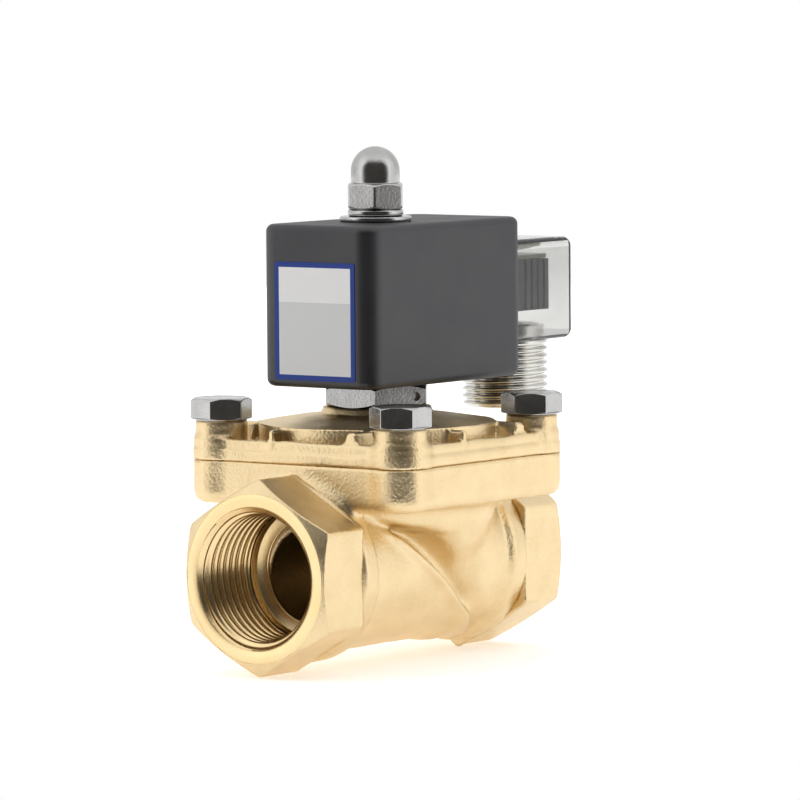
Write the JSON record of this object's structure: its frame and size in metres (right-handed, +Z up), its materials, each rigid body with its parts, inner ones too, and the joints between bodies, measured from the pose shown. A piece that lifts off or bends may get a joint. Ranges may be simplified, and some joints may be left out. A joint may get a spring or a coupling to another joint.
{
  "type": "solenoid valve",
  "caption": "Forged brass diaphragm valve with threaded pipe ports, bolted bonnet, black moulded solenoid coil, domed nut and a clear plug connector on a threaded conduit hub.",
  "frame": {"origin": "centre of the outlet port's mouth, on the pipe axis", "axes": "+X along the pipe axis from the outlet port to the inlet port, +Z up along the armature tube, +Y completes a right-handed frame"},
  "size_m": [0.1163, 0.0676, 0.124],
  "materials": {
    "forged_brass": "hot forged and shot blasted, satin",
    "turned_brass": "turned, bright",
    "stainless_steel": "machined stainless steel",
    "magnetic_steel": "ground magnetic steel",
    "spring_steel": "drawn wire",
    "nickel_plate": "nickel plated",
    "plated_contact": "tin plated",
    "coil_plastic": "moulded, semi-matt black",
    "grey_plastic": "moulded dark grey",
    "white_plastic": "moulded natural",
    "clear_plastic": "clear polycarbonate",
    "label_film": "printed film with a blue border",
    "seal_rubber": "fluoro rubber, black",
    "copper_wire": "enamelled copper winding",
    "board": "glass laminate"
  },
  "bodies": {
    "valve": {"valve_body": "forged_brass", "bonnet": "forged_brass", "bonnet_bolts": "stainless_steel", "armature_tube": "stainless_steel", "fixed_core": "stainless_steel", "tube_o_ring": "seal_rubber", "flat_washer": "stainless_steel", "lock_washer": "stainless_steel"},
    "diaphragm_group": {"diaphragm": "seal_rubber", "lift_plate": "turned_brass", "lower_plate": "turned_brass", "centre_stud": "turned_brass", "centre_nut": "turned_brass"},
    "armature_group": {"armature": "magnetic_steel", "armature_seal": "seal_rubber", "armature_spring": "spring_steel", "link_hanger": "stainless_steel"},
    "coil": {"coil_housing": "coil_plastic", "coil_label": "label_film", "bobbin": "white_plastic", "winding": "copper_wire", "yoke_frame": "magnetic_steel", "lower_pole_sleeve": "magnetic_steel", "upper_pole_sleeve": "magnetic_steel", "coil_terminals": "plated_contact", "lower_coil_seal": "seal_rubber", "upper_coil_seal": "seal_rubber"},
    "connector": {"connector_housing": "clear_plastic", "conduit_hub": "nickel_plate", "hub_nut": "nickel_plate", "terminal_block": "grey_plastic", "terminal_sockets": "plated_contact", "terminal_screws": "plated_contact", "circuit_board": "board", "suppressor_parts": "grey_plastic", "connector_gasket": "seal_rubber", "connector_screw": "nickel_plate"},
    "cap_nut": {"cap_nut": "stainless_steel"}
  },
  "joints": [
    {"name": "armature_lift", "type": "slide", "parent": "valve", "child": "armature_group", "axis": [0, 0, 1], "range_m": [0, 0.008], "stiffness_N_per_m": 250, "springref_m": -0.006, "deforming": ["armature_spring"]},
    {"name": "diaphragm_lift", "type": "slide", "parent": "valve", "child": "diaphragm_group", "axis": [0, 0, 1], "range_m": [0, 0.006], "deforming": ["diaphragm"]},
    {"name": "coil_swivel", "type": "hinge", "parent": "valve", "child": "coil", "pos_m": [0.049, 0, 0.063], "axis": [0, 0, 1], "range_deg": [-28, 28]},
    {"name": "connector_pull", "type": "slide", "parent": "coil", "child": "connector", "axis": [1, 0, 0], "range_m": [0, 0.02]},
    {"name": "cap_nut_turn", "type": "hinge", "parent": "valve", "child": "cap_nut", "pos_m": [0.049, 0, 0.09], "axis": [0, 0, 1], "continuous": true}
  ],
  "couplings": [
    {"joint": "diaphragm_lift", "follows": "armature_lift", "ratio": 0.75}
  ]
}
